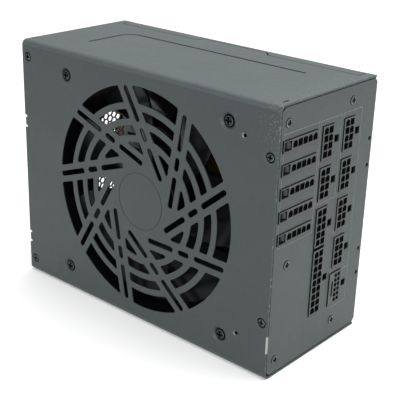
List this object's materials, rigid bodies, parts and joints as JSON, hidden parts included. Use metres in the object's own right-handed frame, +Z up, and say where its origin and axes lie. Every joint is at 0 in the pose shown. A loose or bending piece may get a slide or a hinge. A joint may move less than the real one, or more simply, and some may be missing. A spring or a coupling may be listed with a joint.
{
  "type": "power supply unit",
  "caption": "Fully modular ATX power supply in a folded steel case, with a stamped fan grille, sockets for detachable cables, a mains inlet and a rocker switch.",
  "frame": {"origin": "middle of the long side that the case stands on, between the ends of the fan cover", "axes": "+X out of the modular panel, -Y out of the fan grille, +Z up"},
  "size_m": [0.1939, 0.0861, 0.15],
  "materials": {
    "case_paint": "satin powder coat, slate grey",
    "socket_plastic": "fine moulded black",
    "fan_plastic": "satin moulded black",
    "rocker_plastic": "semi-gloss black",
    "screw_steel": "dark nickel plated",
    "shaft_steel": "ground",
    "brass": "plain",
    "contact_metal": "tin plated",
    "copper": "enamelled copper",
    "circuit_board": "solder mask",
    "ferrite": "sintered",
    "heatsink": "extruded",
    "can_aluminium": "drawn can",
    "capacitor_sleeve": "shrink sleeve",
    "film_yellow": "moulded box and tape",
    "disc_blue": "dipped",
    "package_black": "moulded package",
    "insulation_film": "polyester film",
    "wire_sleeve": "extruded insulation",
    "fuse_glass": "glass tube with end caps"
  },
  "bodies": {
    "case": {"fan_cover": "case_paint", "base_plate": "case_paint", "rear_panel": "case_paint", "modular_panel": "case_paint", "insulating_sheet": "insulation_film", "cover_screws": "screw_steel", "fan_screws": "screw_steel", "panel_screws": "screw_steel", "board_screws": "shaft_steel", "board_standoffs": "brass", "fan_frame": "fan_plastic", "fan_stator": "shaft_steel", "fan_coils": "copper", "fan_bearing": "brass", "fan_circuit_board": "circuit_board", "fan_lead": "wire_sleeve", "ac_inlet": "socket_plastic", "inlet_blades": "contact_metal", "switch_body": "socket_plastic", "switch_contacts": "contact_metal", "mains_wires": "wire_sleeve", "main_board": "circuit_board", "choke_cores": "ferrite", "choke_windings": "copper", "x_capacitors": "film_yellow", "y_capacitors": "disc_blue", "bridge_rectifiers": "package_black", "primary_heatsink": "heatsink", "power_transistors": "package_black", "bulk_capacitors": "capacitor_sleeve", "transformer_core": "ferrite", "transformer_winding": "film_yellow", "standby_transformer": "film_yellow", "secondary_heatsinks": "heatsink", "output_capacitors": "can_aluminium", "converter_board": "circuit_board", "control_board": "circuit_board", "mains_fuse": "fuse_glass", "inrush_relay": "package_black", "modular_board": "circuit_board", "bus_bars": "copper", "socket_pins": "contact_metal", "peripheral_socket_1": "socket_plastic", "peripheral_socket_2": "socket_plastic", "peripheral_socket_3": "socket_plastic", "peripheral_socket_4": "socket_plastic", "peripheral_socket_5": "socket_plastic", "cpu_socket_1": "socket_plastic", "cpu_socket_2": "socket_plastic", "board_socket_short": "socket_plastic", "board_socket_long": "socket_plastic", "graphics_socket_1": "socket_plastic", "graphics_socket_2": "socket_plastic", "graphics_socket_3": "socket_plastic", "graphics_socket_4": "socket_plastic", "graphics_socket_wide": "socket_plastic"},
    "fan_rotor": {"fan_rotor": "fan_plastic", "fan_shaft": "shaft_steel", "fan_magnet_ring": "ferrite"},
    "power_rocker": {"power_rocker": "rocker_plastic"}
  },
  "joints": [
    {"name": "fan_spin", "type": "hinge", "parent": "case", "child": "fan_rotor", "pos_m": [0.0028, -0.03, 0.0752], "axis": [0, 1, 0], "continuous": true},
    {"name": "rocker_tip", "type": "hinge", "parent": "case", "child": "power_rocker", "pos_m": [-0.0927, 0.027, 0.124], "axis": [0, 0, 1], "range_deg": [0, 16]}
  ]
}
